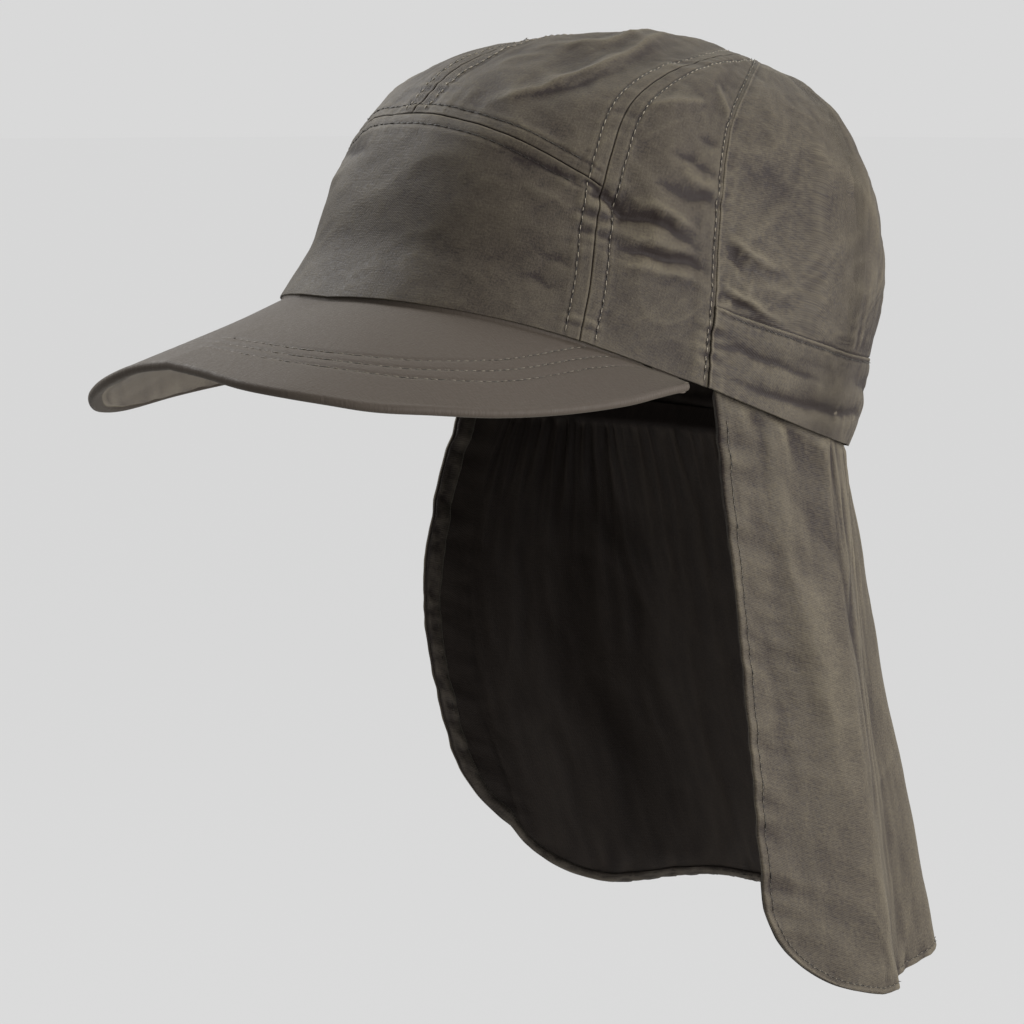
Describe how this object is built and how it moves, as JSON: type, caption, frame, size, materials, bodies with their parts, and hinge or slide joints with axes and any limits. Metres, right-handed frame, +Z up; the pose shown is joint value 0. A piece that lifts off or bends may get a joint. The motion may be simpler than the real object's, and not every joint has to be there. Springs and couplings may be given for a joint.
{
  "type": "legionnaire cap",
  "caption": "Soft sun cap with a curved peak, a panelled crown, a gathered back band and a long neck flap that covers the nape and the sides of the neck.",
  "frame": {"origin": "middle of the head opening, in its plane on the centre line, where the opening is widest; the cap is held as a head holds it", "axes": "+Z up with the head upright, -Y the way the peak points, +X the wearer's left; the opening's plane leans 17 degrees down towards the nape"},
  "size_m": [0.1628, 0.3102, 0.3206],
  "materials": {
    "crown_cloth": "fine twill of polyamide in olive grey brown with a soft two-tone sheen, pale topstitching",
    "peak_cloth": "the same twill drawn smooth over a stiff board, with concentric topstitching",
    "flap_cloth": "the same twill outside, darker brown on its inner face, with a narrow stitched hem"
  },
  "bodies": {
    "root": {"front_panel": "crown_cloth", "top_panel_left": "crown_cloth", "top_panel_right": "crown_cloth", "side_panel_left": "crown_cloth", "side_panel_right": "crown_cloth", "back_panel_left": "crown_cloth", "back_panel_right": "crown_cloth", "back_band": "crown_cloth", "peak": "peak_cloth", "neck_flap": "flap_cloth"}
  },
  "joints": []
}
